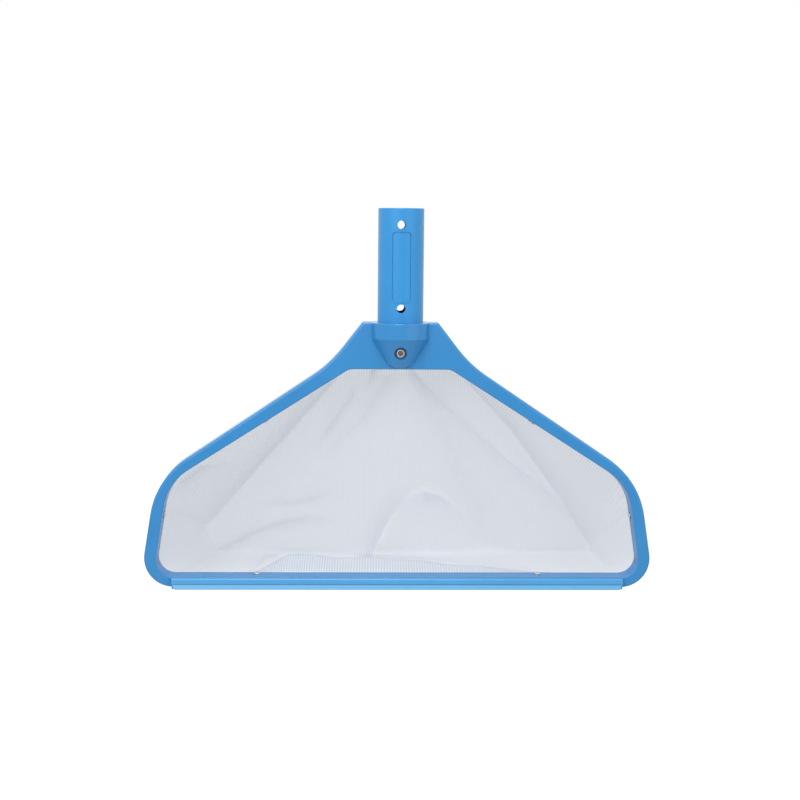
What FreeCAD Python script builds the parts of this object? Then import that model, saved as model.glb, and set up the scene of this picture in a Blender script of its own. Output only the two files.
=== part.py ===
"""Leaf skimmer net for a pool: a moulded hand-net head with a scoop-shaped mesh bag.

The part hangs below its pole. The origin is the centre of the socket's mouth, +Z runs up
along the pole, +X goes to the right seen from the mouth side, and the mouth of the net
faces -Y. The bag hangs behind the frame, towards +Y. All sizes are in millimetres.
"""

import FreeCAD, Part
import math
import os

Vec = FreeCAD.Vector
X_AXIS = Vec(1, 0, 0)
Y_AXIS = Vec(0, 1, 0)
Z_AXIS = Vec(0, 0, 1)

# Handle socket: the tube that a standard 32 mm pole slides into.
pole_diameter = 32.0
pole_clearance = 0.25  # radial, between pole and bore
socket_wall = 3.85
socket_shown = 99.5  # from the mouth to the hub's top
socket_floor = 5.0  # below the pole's stop
socket_rim_round = 1.0
clip_hole_diameter = 7.6
clip_hole_first = 14.4  # below the mouth
clip_hole_spacing = 72.4
label_width = 16.2
label_length = 60.4
label_corner = 2.8
label_rim_width = 0.9
label_rim_height = 0.35
label_recess = 0.4
spigot_seat_wall = 2.5  # between the spigot and the screw head's seat
spigot_above_screw = 11.2
spigot_below_screw = 6.8

# Frame: one moulding, a channel open at the back that widens into a hub at the top.
frame_depth = 17.0
front_wall = 2.5
channel_wall = 2.0
mouth_draft = 0.8  # the mouth is this much narrower at its back, on each side
face_round = 2.2
mouth_round = 1.0
mouth_top_half_width = 44.7
mouth_top_blend = 12.0
mouth_upper_half_width = 204.8
mouth_upper_blend = 48.0
mouth_lower_half_width = 218.3
mouth_lower_blend = 16.0
slant_drop = 102.2  # from the mouth's top edge to its upper corners
side_drop = 84.7  # from there to the mouth's bottom edge
hub_height = 41.1  # above the mouth's top edge
hub_half_width = 33.3
hub_corner_blend = 2.0
shoulder_offset = 12.4  # along the slanted bar, from the mouth's top corner
shoulder_spread = 4.1  # how much wider the slanted bar is there than at its low end
shoulder_blend = 110.0
slant_bar_width = 8.7
side_bar_width = 10.6
bottom_bar_width = 9.0
upper_corner_blend = 75.0
lower_corner_blend = 26.0

# Hub: the sleeve that holds the socket, with a cone that fades into the frame's face.
sleeve_wall = 6.5
sleeve_clearance = 0.1
sleeve_height = 14.0
cone_end_radius = 14.0
cone_tip_radius = 9.0
cone_tip_height = 3.0
cone_gap = 0.9  # from the cone's tip to the mouth's top edge
sleeve_round = 1.0
rib_thickness = 2.0
rib_spacing = 13.0
rib_count = 2
rib_recess = 1.5  # the ribs stop this far inside the channel's open back

# Screw and nut that hold the socket in the hub.
screw_below_hub_top = 26.2
screw_diameter = 4.0
screw_hole_clearance = 0.15
screw_head_diameter = 8.0
screw_head_height = 2.6
screw_head_round = 1.1
screw_overhang = 1.2  # the thread that stands out of the nut
counterbore_diameter = 11.3
counterbore_depth = 6.3  # in the cone's face, down to the head's seat
cross_length = 4.6
cross_width = 0.95
cross_depth = 1.6
nut_across_flats = 7.0
nut_height = 3.2
nut_clearance = 0.15

# Net: a hem of tape in the channel, clamped by a ring, and the bag that is sewn to it.
hem_thickness = 0.8
hem_width = 11.0
clamp_thickness = 1.9
clamp_width = 9.5
clamp_setback = 1.0  # the ring sits this far inside the channel's open back
bag_wall = 0.8
bag_top_back = 32.2  # how far behind the frame the bag's back panel starts
bag_top_drop = 8.1  # and how far below the mouth's top edge
bag_bottom_back = 95.9
bag_bottom_drop = 6.5  # below the mouth's bottom edge
bag_top_spread = 5.3  # the back panel's top corners are this far out past the mouth's
bag_top_blend = 8.0
bag_crease_drop = 157.0  # from the panel's top down its slanted edges
bag_upper_taper = 20.3  # the panel is this much narrower there on each side
bag_upper_blend = 12.0
bag_lower_taper = 36.3  # and this much at its bottom
bag_lower_blend = 6.0
bag_edge_round = 4.0
bag_belly = 1.0  # how far the side walls bulge past a straight taper
bag_sag = 3.0  # how far the floor hangs below that
bag_swell = 1.5  # how far the back panel domes out
bag_swell_rim = 5.0  # the dome's flat middle starts this far inside the rounded edge
net_clearance = 0.4  # between the net's parts and the frame's hub

# Blind rivets through the mouth's wall, the hem and the clamp ring.
rivet_shank_diameter = 3.2
rivet_hole_clearance = 0.05
rivet_head_diameter = 6.2
rivet_head_height = 1.1
rivet_bore_diameter = 1.8
rivet_bulb_diameter = 4.6
rivet_end_gap = 0.1  # between the mandrel's end and the channel's outer wall
rivet_setback = 4.2  # from the frame's back edge to the rivet's axis
mandrel_clearance = 0.02
mandrel_recess = 0.55
mandrel_tail = 0.5  # out of the rivet's blind end
slant_rivet_offset = 87.6  # along the slanted bar, from the mouth's top corner
side_rivet_run_on = 0.2  # down the side bar, past the end of its outer rounding
bottom_rivet_spacing = 253.3

# Scraper lip: a stiff strip clipped over the bottom bar, and the soft blade it holds.
lip_end_inset = 16.8  # from the mouth's lower corner to the strip's end
clip_wall = 1.2
clip_hook = 3.0
clip_clearance = 0.05
clip_block_depth = 3.9
clip_block_height = 5.6
clip_edge_gap = 0.5  # below the mouth's bottom edge
bead_radius = 1.0
bead_clearance = 0.06
bead_depth = 2.15  # in front of the frame's face
bead_drop = 4.3  # below the strip's upper edge
blade_root_thickness = 1.1
blade_tip_thickness = 0.8
blade_reach = 5.9  # from the bead's axis to the blade's tip
blade_lean = 32.0  # degrees forward of straight down
blade_swing = 25.0  # degrees either way
blade_end_slant = 3.2
blade_end_gap = 0.6
mouth_margin = 2.0  # degrees of room past the swing in the strip's slot
slot_margin = 0.12
stop_radius = 1.2
stop_height = 1.2
stop_gap = 1.0
stop_drop = 2.9  # below the mouth's bottom edge

# Sizes that follow from the ones above.
bore_radius = pole_diameter / 2 + pole_clearance
socket_radius = bore_radius + socket_wall
hub_top_z = -socket_shown
mouth_top_z = hub_top_z - hub_height
mouth_upper_z = mouth_top_z - slant_drop
mouth_bottom_z = mouth_upper_z - side_drop
frame_bottom_z = mouth_bottom_z - bottom_bar_width
screw_z = hub_top_z - screw_below_hub_top
step_z = screw_z + spigot_above_screw
spigot_z = screw_z - spigot_below_screw
socket_depth = -step_z - socket_floor
clip_hole_zs = (-clip_hole_first, -clip_hole_first - clip_hole_spacing)
label_z = sum(clip_hole_zs) / 2
face_y = -frame_depth / 2
back_y = frame_depth / 2
sleeve_bore = socket_radius + sleeve_clearance
sleeve_radius = socket_radius + sleeve_wall
cone_z = hub_top_z - sleeve_height
cone_tip_z = mouth_top_z + cone_gap
cone_end_z = cone_tip_z + cone_tip_height
cone_slope = (sleeve_radius - cone_end_radius) / (cone_z - cone_end_z)
screw_seat = sleeve_radius - cone_slope * (cone_z - screw_z) - counterbore_depth
spigot_radius = screw_seat - spigot_seat_wall
hem_outer = channel_wall + hem_thickness
clamp_outer = hem_outer + clamp_thickness
rivet_y = back_y - rivet_setback
rivet_tail = slant_bar_width - channel_wall - clamp_outer - rivet_end_gap
rivet_bulb_height = rivet_tail - mandrel_tail
lip_half_length = mouth_lower_half_width - lip_end_inset
reach = 1000.0  # longer than any cut has to be


def half_outline(rows):
    """The corners on the right, from the top down, as a closed outline on both sides."""
    left = [(-x, z, blend) for x, z, blend in reversed(rows)]
    return list(rows) + left


def line_through(a, b):
    """Unit direction from corner a to b, and the normal on its left, out of the outline."""
    dx = b[0] - a[0]
    dz = b[1] - a[1]
    length = math.hypot(dx, dz)
    return (dx / length, dz / length), (-dz / length, dx / length)


def corner_out(before, here, after, distance_before, distance_after):
    """Where a corner goes when the sides before and after it move outwards."""
    _, (nx, nz) = line_through(before, here)
    _, (mx, mz) = line_through(here, after)
    cross = nx * mz - nz * mx
    out_x = (distance_before * mz - distance_after * nz) / cross
    out_z = (distance_after * nx - distance_before * mx) / cross
    return here[0] + out_x, here[1] + out_z


def grown(corners, distance):
    """The outline with every side moved outwards by distance, its blends kept parallel."""
    count = len(corners)
    moved = []
    for i in range(count):
        before, here, after = corners[i - 1], corners[i], corners[(i + 1) % count]
        (ux, uz), _ = line_through(before, here)
        (vx, vz), _ = line_through(here, after)
        turn = ux * vz - uz * vx  # negative where the outline is convex
        x, z = corner_out(before, here, after, distance, distance)
        blend = here[2] + distance if turn < 0 else here[2] - distance
        moved.append((x, z, max(blend, 0.2)))
    return moved


MOUTH = half_outline(
    [
        (mouth_top_half_width, mouth_top_z, mouth_top_blend),
        (mouth_upper_half_width, mouth_upper_z, mouth_upper_blend),
        (mouth_lower_half_width, mouth_bottom_z, mouth_lower_blend),
    ]
)


def along_mouth(side, offset):
    """A point on one straight side of the mouth, and the way out of the mouth there."""
    start, end = MOUTH[side], MOUTH[side + 1]
    (ux, uz), out = line_through(start, end)
    return (start[0] + ux * offset, start[1] + uz * offset), out


def outer_outline():
    """The frame's outside: the mouth plus the bars' widths, and the hub on top."""
    (foot_x, foot_z), (out_x, out_z) = along_mouth(0, shoulder_offset)
    spread = slant_bar_width + shoulder_spread
    upper = corner_out(*MOUTH[0:3], slant_bar_width, side_bar_width)
    lower = corner_out(*MOUTH[1:4], side_bar_width, bottom_bar_width)
    return half_outline(
        [
            (hub_half_width, hub_top_z, hub_corner_blend),
            (foot_x + out_x * spread, foot_z + out_z * spread, shoulder_blend),
            (*upper, upper_corner_blend),
            (*lower, lower_corner_blend),
        ]
    )


OUTER = outer_outline()
BACK = half_outline(
    [
        (
            mouth_top_half_width + bag_top_spread,
            mouth_top_z - bag_top_drop,
            bag_top_blend,
        ),
        (
            mouth_upper_half_width - bag_upper_taper,
            mouth_top_z - bag_top_drop - bag_crease_drop,
            bag_upper_blend,
        ),
        (
            mouth_lower_half_width - bag_lower_taper,
            mouth_bottom_z - bag_bottom_drop,
            bag_lower_blend,
        ),
    ]
)


def outline_wire(corners, y=0.0):
    """A closed wire of straight sides and tangent arcs in the plane at y."""
    count = len(corners)
    arcs = []
    for i in range(count):
        before, here, after = corners[i - 1], corners[i], corners[(i + 1) % count]
        (ux, uz), _ = line_through(before, here)
        (vx, vz), _ = line_through(here, after)
        turn = math.acos(max(-1.0, min(1.0, ux * vx + uz * vz)))
        cut = here[2] * math.tan(turn / 2)
        sagitta = here[2] * (1 / math.cos(turn / 2) - 1)
        inward = Vec(vx - ux, 0, vz - uz)
        inward.normalize()
        corner = Vec(here[0], y, here[1])
        arcs.append(
            (
                corner - Vec(ux, 0, uz) * cut,
                corner + inward * sagitta,
                corner + Vec(vx, 0, vz) * cut,
            )
        )
    edges = []
    for i, (start, middle, end) in enumerate(arcs):
        edges.append(Part.Arc(start, middle, end).toShape())
        following = arcs[(i + 1) % count][0]
        edges.append(Part.LineSegment(end, following).toShape())
    return Part.Wire(edges)


def slab(corners, y_from, y_to):
    """The outline as a solid between two depths."""
    return Part.Face(outline_wire(corners, y_from)).extrude(Vec(0, y_to - y_from, 0))


def ring(corners, inner, outer, y_from, y_to):
    """The band between two distances outside an outline, between two depths."""
    return slab(grown(corners, outer), y_from, y_to).cut(
        slab(grown(corners, inner), y_from, y_to)
    )


def turned(profile, centre, axis):
    """A profile of (radius, height) points turned about an axis through centre."""
    points = [Vec(r, 0, h) for r, h in profile]
    face = Part.Face(Part.makePolygon(points + points[:1]))
    body = face.revolve(Vec(0, 0, 0), Z_AXIS, 360)
    body.Placement = FreeCAD.Placement(centre, FreeCAD.Rotation(Z_AXIS, axis))
    return body


def along_y(radius, y_from, y_to, x=0.0, z=0.0):
    """A cylinder along Y between two depths."""
    return Part.makeCylinder(radius, y_to - y_from, Vec(x, y_from, z), Y_AXIS)


def rounded_plate(width, length, corner, y_from, y_to, z):
    """A plate with round corners in the XZ plane, centred on z."""
    half = width / 2
    top = z + length / 2
    low = z - length / 2
    return slab(
        half_outline([(half, top, corner), (half, low, corner)]), y_from, y_to
    )


def edges_where(shape, test):
    """The edges whose midpoint and ends all pass the test."""
    found = []
    for edge in shape.Edges:
        middle = edge.valueAt((edge.FirstParameter + edge.LastParameter) / 2)
        points = [vertex.Point for vertex in edge.Vertexes] + [middle]
        if all(test(point) for point in points):
            found.append(edge)
    return found


def near(value, target, tolerance=0.01):
    return abs(value - target) < tolerance


def make_handle_socket():
    """The tube for the pole, with a stepped spigot that the screw goes through."""
    tube = Part.makeCylinder(socket_radius, -step_z, Vec(0, 0, step_z))
    rim = edges_where(tube, lambda p: near(p.z, 0))
    tube = tube.makeFillet(socket_rim_round, rim)
    spigot = Part.makeCylinder(spigot_radius, step_z - spigot_z, Vec(0, 0, spigot_z))
    body = tube.fuse(spigot)
    skin = Part.makeCylinder(
        socket_radius + label_rim_height, -step_z, Vec(0, 0, step_z)
    )
    rim_outside = (
        label_width + 2 * label_rim_width,
        label_length + 2 * label_rim_width,
        label_corner + label_rim_width,
    )
    panel = rounded_plate(label_width, label_length, label_corner, -reach, 0, label_z)
    frame = rounded_plate(*rim_outside, -reach, -bore_radius, label_z).cut(panel)
    body = body.fuse(frame.common(skin))
    core = Part.makeCylinder(socket_radius - label_recess, -step_z, Vec(0, 0, step_z))
    body = body.cut(panel.cut(core))
    body = body.cut(
        Part.makeCylinder(bore_radius, socket_depth, Vec(0, 0, -socket_depth))
    )
    for z in clip_hole_zs:
        body = body.cut(along_y(clip_hole_diameter / 2, -reach, reach, z=z))
    hole = screw_diameter / 2 + screw_hole_clearance
    return body.cut(along_y(hole, -reach, reach, z=screw_z)).removeSplitter()


def make_frame():
    """The moulded frame: front wall, two side walls, hub sleeve and ribs."""
    body = slab(OUTER, face_y, back_y)
    front = edges_where(body, lambda p: near(p.y, face_y))
    body = body.makeFillet(face_round, front)
    pocket_y = face_y + front_wall
    rib_top_z = hub_top_z - channel_wall - rib_spacing / 2
    pocket = slab(grown(OUTER, -channel_wall), pocket_y, back_y)
    pocket = pocket.cut(slab(grown(MOUTH, channel_wall), pocket_y, back_y))
    body = body.cut(pocket)
    inside = slab(grown(OUTER, -channel_wall / 2), face_y, back_y)
    for i in range(rib_count):
        rib = Part.makeBox(
            2 * mouth_lower_half_width,
            back_y - rib_recess - pocket_y,
            rib_thickness,
            Vec(-mouth_lower_half_width, pocket_y, rib_top_z - i * rib_spacing),
        )
        body = body.fuse(rib.common(inside))
    body = body.fuse(make_sleeve())
    net_room = clamp_outer + net_clearance
    body = body.cut(ring(MOUTH, channel_wall, net_room, pocket_y, back_y))
    body = body.cut(slab(grown(MOUTH, net_room), back_y, reach))
    wires = [outline_wire(MOUTH, face_y), outline_wire(grown(MOUTH, -mouth_draft), back_y)]
    body = body.cut(Part.makeLoft(wires, True, True))
    mouth_edge = edges_where(body, is_mouth_edge)
    body = body.makeFillet(mouth_round, mouth_edge)
    body = body.cut(
        Part.makeCylinder(sleeve_bore, reach, Vec(0, 0, step_z - sleeve_clearance))
    )
    body = body.cut(
        Part.makeCylinder(
            spigot_radius + sleeve_clearance,
            reach,
            Vec(0, 0, spigot_z - sleeve_clearance),
        )
    )
    hole = screw_diameter / 2 + screw_hole_clearance
    body = body.cut(along_y(hole, -reach, reach, z=screw_z))
    body = body.cut(
        along_y(counterbore_diameter / 2, -reach, -screw_seat, z=screw_z)
    )
    body = body.cut(hexagon(nut_across_flats / 2 + nut_clearance, screw_seat, reach))
    for place in rivet_places().values():
        body = body.cut(rivet_hole(place))
    for side in (-1, 1):
        stop_x = side * (lip_half_length + stop_gap + stop_radius)
        stop_z = mouth_bottom_z - stop_drop
        body = body.fuse(
            along_y(stop_radius, face_y - stop_height, face_y + 1, stop_x, stop_z)
        )
    return body.removeSplitter()


def is_mouth_edge(point):
    """True on the front edge of the mouth, and nowhere else on the frame's face."""
    if not near(point.y, face_y):
        return False
    probe = Part.Vertex(point)
    return probe.distToShape(outline_wire(MOUTH, face_y))[0] < 0.01


def make_sleeve():
    """The thick sleeve round the socket and the cone below it, before their bores."""
    profile = [
        (0, cone_tip_z),
        (cone_tip_radius, cone_tip_z),
        (cone_end_radius, cone_end_z),
        (sleeve_radius, cone_z),
        (sleeve_radius, hub_top_z),
        (0, hub_top_z),
    ]
    sleeve = turned(profile, Vec(0, 0, 0), Z_AXIS)
    rim = edges_where(
        sleeve,
        lambda p: near(p.z, hub_top_z) and near(math.hypot(p.x, p.y), sleeve_radius),
    )
    return sleeve.makeFillet(sleeve_round, rim)


def hexagon(half_flats, y_from, y_to):
    """A hexagonal prism along Y at the screw, with two flats upright."""
    corner = half_flats / math.cos(math.radians(30))
    points = []
    for i in range(7):
        angle = math.radians(30 + 60 * i)
        points.append(
            Vec(corner * math.cos(angle), y_from, corner * math.sin(angle) + screw_z)
        )
    return Part.Face(Part.makePolygon(points)).extrude(Vec(0, y_to - y_from, 0))


def make_socket_screw():
    """Pan-head machine screw with a cross recess, its head in the counterbore."""
    seat_y = -screw_seat
    head = along_y(
        screw_head_diameter / 2, seat_y - screw_head_height, seat_y, z=screw_z
    )
    rim = edges_where(head, lambda p: near(p.y, seat_y - screw_head_height))
    head = head.makeFillet(screw_head_round, rim)
    end_y = screw_seat + nut_height + screw_overhang
    body = head.fuse(along_y(screw_diameter / 2, seat_y, end_y, z=screw_z))
    for width, height in ((cross_length, cross_width), (cross_width, cross_length)):
        body = body.cut(
            Part.makeBox(
                width,
                cross_depth,
                height,
                Vec(-width / 2, seat_y - screw_head_height, screw_z - height / 2),
            )
        )
    return body


def make_socket_nut():
    """Hexagonal nut in its pocket at the back of the hub."""
    nut = hexagon(nut_across_flats / 2, screw_seat, screw_seat + nut_height)
    return nut.cut(along_y(screw_diameter / 2, -reach, reach, z=screw_z))


def outer_rounding_end():
    """Where the upper corner's outer rounding ends, along the mouth's side edge."""
    (ux, uz), _ = line_through(OUTER[1], OUTER[2])
    (vx, vz), _ = line_through(OUTER[2], OUTER[3])
    half_turn = math.acos(ux * vx + uz * vz) / 2
    across, down = OUTER[2][0] - MOUTH[1][0], OUTER[2][1] - MOUTH[1][1]
    return across * vx + down * vz + OUTER[2][2] * math.tan(half_turn)


def rivet_places():
    """Each rivet's point on the mouth's front outline and its way into the mouth."""
    side_offset = outer_rounding_end() + side_rivet_run_on
    bottom_offset = mouth_lower_half_width - bottom_rivet_spacing / 2
    places = {}
    for name, side, offset in (
        ("slant", 0, slant_rivet_offset),
        ("side", 1, side_offset),
        ("bottom", 2, bottom_offset),
    ):
        (x, z), (out_x, out_z) = along_mouth(side, offset)
        places[f"left_{name}"] = (-x, z, out_x, -out_z)
        places[f"right_{name}"] = (x, z, -out_x, -out_z)
    return places


def rivet_seat(place):
    """The rivet head's seat: the drafted wall's highest point under the head."""
    x, z, nx, nz = place
    highest = rivet_y + rivet_head_diameter / 2
    lean = mouth_draft * (highest - face_y) / frame_depth
    return Vec(x + nx * lean, rivet_y, z + nz * lean), Vec(nx, 0, nz)


def rivet_grip():
    """The thickness that a rivet holds: mouth wall, hem and clamp ring."""
    highest = rivet_y + rivet_head_diameter / 2
    return clamp_outer + mouth_draft * (highest - face_y) / frame_depth


def rivet_hole(place):
    seat, out = rivet_seat(place)
    radius = rivet_shank_diameter / 2 + rivet_hole_clearance
    depth = rivet_grip() + rivet_hole_clearance
    return Part.makeCylinder(radius, depth + 1, seat - out * depth, out)


def make_rivet(place):
    """A blind rivet: domed head in the mouth, hollow shank, bulb behind the ring."""
    seat, out = rivet_seat(place)
    bore = rivet_bore_diameter / 2
    shank = rivet_shank_diameter / 2
    head = rivet_head_diameter / 2
    bulb = rivet_bulb_diameter / 2
    grip = rivet_grip()
    profile = [
        (bore, -grip - rivet_bulb_height),
        (shank, -grip - rivet_bulb_height),
        (bulb, -grip - rivet_bulb_height * 0.5),
        (shank, -grip),
        (shank, 0),
        (head, 0),
        (head, rivet_head_height * 0.3),
        (head * 0.8, rivet_head_height * 0.8),
        (head * 0.5, rivet_head_height),
        (bore, rivet_head_height),
    ]
    return turned(profile, seat, out)


def make_mandrel(place):
    """The part of the rivet's mandrel that stays in its bore after it snaps."""
    seat, out = rivet_seat(place)
    radius = rivet_bore_diameter / 2 - mandrel_clearance
    grip = rivet_grip()
    end = -grip - rivet_bulb_height
    profile = [
        (0, end - mandrel_tail),
        (radius * 0.8, end - mandrel_tail),
        (rivet_shank_diameter / 2 - 0.1, end - mandrel_tail / 3),
        (rivet_shank_diameter / 2 - 0.1, end),
        (radius, end),
        (radius, rivet_head_height - mandrel_recess - 0.25),
        (radius * 0.6, rivet_head_height - mandrel_recess),
        (0, rivet_head_height - mandrel_recess),
    ]
    return turned(profile, seat, out)


def make_hem():
    """Folded tape sewn round the bag's mouth, flat on the mouth wall's hidden side."""
    body = ring(MOUTH, channel_wall, hem_outer, back_y - hem_width, back_y)
    for place in rivet_places().values():
        body = body.cut(rivet_hole(place))
    return body


def make_clamp_ring():
    """Stiff ring in the channel that the rivets pull against the hem."""
    end_y = back_y - clamp_setback
    body = ring(MOUTH, hem_outer, clamp_outer, end_y - clamp_width, end_y)
    for place in rivet_places().values():
        body = body.cut(rivet_hole(place))
    return body


def bag_section(share, inset, forward=0.0):
    """One closed section of the bag, from the mouth at share 0 to the back at 1."""
    straight = [
        tuple(a + (b - a) * share for a, b in zip(front, back))
        for front, back in zip(MOUTH, BACK)
    ]
    top_z = straight[0][1]
    height = top_z - straight[2][1]
    top_y = back_y + bag_top_back * share
    bottom_y = back_y + bag_bottom_back * share
    sag = bag_sag * math.sin(math.pi * share)
    slope = math.hypot(bottom_y - top_y, height + sag)
    lean = math.degrees(math.atan2(bottom_y - top_y, height + sag))
    laid = [(x, (z - top_z) * slope / height, blend) for x, z, blend in straight]
    bulge = bag_belly * math.sin(math.pi * share)
    wire = outline_wire(grown(laid, hem_outer * (1 - share) + bulge - inset))
    wire.Placement = FreeCAD.Placement(
        Vec(0, top_y - forward, top_z), FreeCAD.Rotation(X_AXIS, lean)
    )
    return wire


def bag_body(wall):
    """The bag as a filled body, smaller by wall: a taper that rounds over to its back."""
    sections = [bag_section(share, wall) for share in (0.0, 0.2, 0.4, 0.6, 0.8)]
    for degrees in (10, 45, 80):
        turn = math.radians(degrees)
        sections.append(
            bag_section(
                1.0,
                wall + bag_edge_round * (1 - math.cos(turn)),
                wall + bag_edge_round * (1 - math.sin(turn)),
            )
        )
    dome = bag_section(1.0, wall + bag_edge_round + bag_swell_rim, wall - bag_swell)
    sections.append(dome)
    return Part.makeLoft(sections, True, True)


def make_bag():
    """The bag's mesh as one thin closed wall with its mouth open."""
    return bag_body(0.0).cut(bag_body(bag_wall))


def in_side_view(points):
    """A flat face in the YZ plane through points given as (y, z)."""
    corners = [Vec(0, y, z) for y, z in points]
    return Part.Face(Part.makePolygon(corners + corners[:1]))


def along_x(points, half_length):
    """A side-view polygon drawn out along X, the same length on both sides."""
    body = in_side_view(points).extrude(Vec(2 * half_length, 0, 0))
    body.translate(Vec(-half_length, 0, 0))
    return body


clip_top_z = mouth_bottom_z - clip_edge_gap
bead_y = face_y - bead_depth
bead_z = clip_top_z - bead_drop


def blade_way(degrees_forward):
    """Direction down the blade, and its normal to the front, in the side view."""
    angle = math.radians(degrees_forward)
    return (-math.sin(angle), -math.cos(angle)), (-math.cos(angle), math.sin(angle))


def make_lip_strip():
    """Strip clipped over the bottom bar, with a slot that holds the blade's bead."""
    inside_front = face_y - clip_clearance
    inside_back = back_y + clip_clearance
    inside_low = frame_bottom_z - clip_clearance
    outside_low = inside_low - clip_wall
    block_low = clip_top_z - clip_block_height
    profile = [
        (inside_front, clip_top_z),
        (inside_front, inside_low),
        (inside_back, inside_low),
        (inside_back, inside_low + clip_hook),
        (inside_back + clip_wall, inside_low + clip_hook),
        (inside_back + clip_wall, outside_low),
        (inside_front - clip_wall, outside_low),
        (inside_front - clip_wall, block_low),
        (inside_front - clip_block_depth, block_low),
        (inside_front - clip_block_depth, clip_top_z - 0.8),
        (inside_front - clip_block_depth + 0.8, clip_top_z),
    ]
    body = along_x(profile, lip_half_length)
    slot = Part.makeCylinder(
        bead_radius + bead_clearance,
        2 * reach,
        Vec(-reach, bead_y, bead_z),
        X_AXIS,
    )
    half = blade_root_thickness / 2 + slot_margin
    far = 3 * clip_block_height
    front_way, front_side = blade_way(blade_lean + blade_swing + mouth_margin)
    back_way, back_side = blade_way(blade_lean - blade_swing - mouth_margin)
    front_edge = (bead_y + front_side[0] * half, bead_z + front_side[1] * half)
    back_edge = (bead_y - back_side[0] * half, bead_z - back_side[1] * half)
    opening = [
        front_edge,
        (front_edge[0] + front_way[0] * far, front_edge[1] + front_way[1] * far),
        (back_edge[0] + back_way[0] * far, back_edge[1] + back_way[1] * far),
        back_edge,
    ]
    mouth = along_x(opening, reach)
    behind = Part.makeBox(
        2 * reach,
        reach,
        2 * reach,
        Vec(-reach, inside_front - clip_wall, -reach),
    )
    return body.cut(slot).cut(mouth.cut(behind))


def make_lip_blade():
    """Soft blade with a round bead along its root, leaning forwards like a scoop."""
    way, side = blade_way(blade_lean)
    root = blade_root_thickness / 2
    tip = blade_tip_thickness / 2
    tip_y = bead_y + way[0] * blade_reach
    tip_z = bead_z + way[1] * blade_reach
    profile = [
        (bead_y + side[0] * root, bead_z + side[1] * root),
        (tip_y + side[0] * tip, tip_z + side[1] * tip),
        (tip_y - side[0] * tip, tip_z - side[1] * tip),
        (bead_y - side[0] * root, bead_z - side[1] * root),
    ]
    half = lip_half_length - blade_end_gap
    body = along_x(profile, half)
    bead = Part.makeCylinder(bead_radius, 2 * half, Vec(-half, bead_y, bead_z), X_AXIS)
    body = body.fuse(bead).removeSplitter()
    for end in (-1, 1):
        corners = [
            Vec(end * half, -reach, bead_z - bead_radius),
            Vec(end * (half - blade_end_slant), -reach, bead_z - blade_reach),
            Vec(end * (half + 1), -reach, bead_z - blade_reach),
        ]
        wedge = Part.Face(Part.makePolygon(corners + corners[:1]))
        body = body.cut(wedge.extrude(Vec(0, 2 * reach, 0)))
    return body


def save(name, shape, solids=1):
    """Checks a node's shape and writes it to parts/."""
    found = shape.Solids
    if len(found) != solids or not shape.isValid():
        raise RuntimeError(f"{name}: {len(found)} solids, valid {shape.isValid()}")
    if solids == 1:
        shape = found[0]
    shape.exportStep(os.path.join("parts", f"{name}.step"))
    box = shape.BoundBox
    print(
        f"{name}: {shape.Volume:.0f} mm3,"
        f" x {box.XMin:.1f} {box.XMax:.1f},"
        f" y {box.YMin:.1f} {box.YMax:.1f},"
        f" z {box.ZMin:.1f} {box.ZMax:.1f}"
    )


def main():
    os.makedirs("parts", exist_ok=True)
    save("handle_socket", make_handle_socket())
    save("frame", make_frame())
    save("socket_screw", make_socket_screw())
    save("socket_nut", make_socket_nut())
    save("net_hem", make_hem())
    save("net_clamp_ring", make_clamp_ring())
    save("net_bag", make_bag())
    for name, place in rivet_places().items():
        save(f"rivet_{name}", make_rivet(place))
        save(f"rivet_mandrel_{name}", make_mandrel(place))
    save("lip_strip", make_lip_strip())
    save("lip_blade", make_lip_blade())


main()
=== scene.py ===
import math

import bpy
import numpy as np
from bpy.props import FloatProperty, FloatVectorProperty, PointerProperty
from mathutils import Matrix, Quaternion, Vector


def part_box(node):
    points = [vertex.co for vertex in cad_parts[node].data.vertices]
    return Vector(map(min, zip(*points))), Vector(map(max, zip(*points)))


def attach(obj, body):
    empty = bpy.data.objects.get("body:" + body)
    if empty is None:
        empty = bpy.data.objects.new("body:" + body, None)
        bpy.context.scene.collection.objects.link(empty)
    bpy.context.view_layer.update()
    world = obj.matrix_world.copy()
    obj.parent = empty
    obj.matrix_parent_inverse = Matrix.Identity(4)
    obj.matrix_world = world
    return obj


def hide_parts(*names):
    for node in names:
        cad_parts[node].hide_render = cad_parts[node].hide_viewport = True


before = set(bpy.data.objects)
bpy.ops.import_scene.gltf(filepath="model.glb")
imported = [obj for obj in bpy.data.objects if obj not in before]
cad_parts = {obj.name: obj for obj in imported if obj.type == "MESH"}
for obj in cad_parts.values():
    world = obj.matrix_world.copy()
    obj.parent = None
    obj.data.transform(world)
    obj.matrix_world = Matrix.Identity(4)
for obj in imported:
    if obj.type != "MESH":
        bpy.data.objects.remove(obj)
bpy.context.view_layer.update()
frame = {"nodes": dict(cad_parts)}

bl_info = {
    "name": "Leaf skimmer net",
    "version": (1, 0, 0),
    "blender": (4, 5, 0),
    "location": "3D View > Sidebar > Skimmer net",
    "description": "Finishes, mesh bag and studio for a pool leaf skimmer head",
    "category": "Object",
}

MM = 0.001
HEAD = "head"

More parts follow.
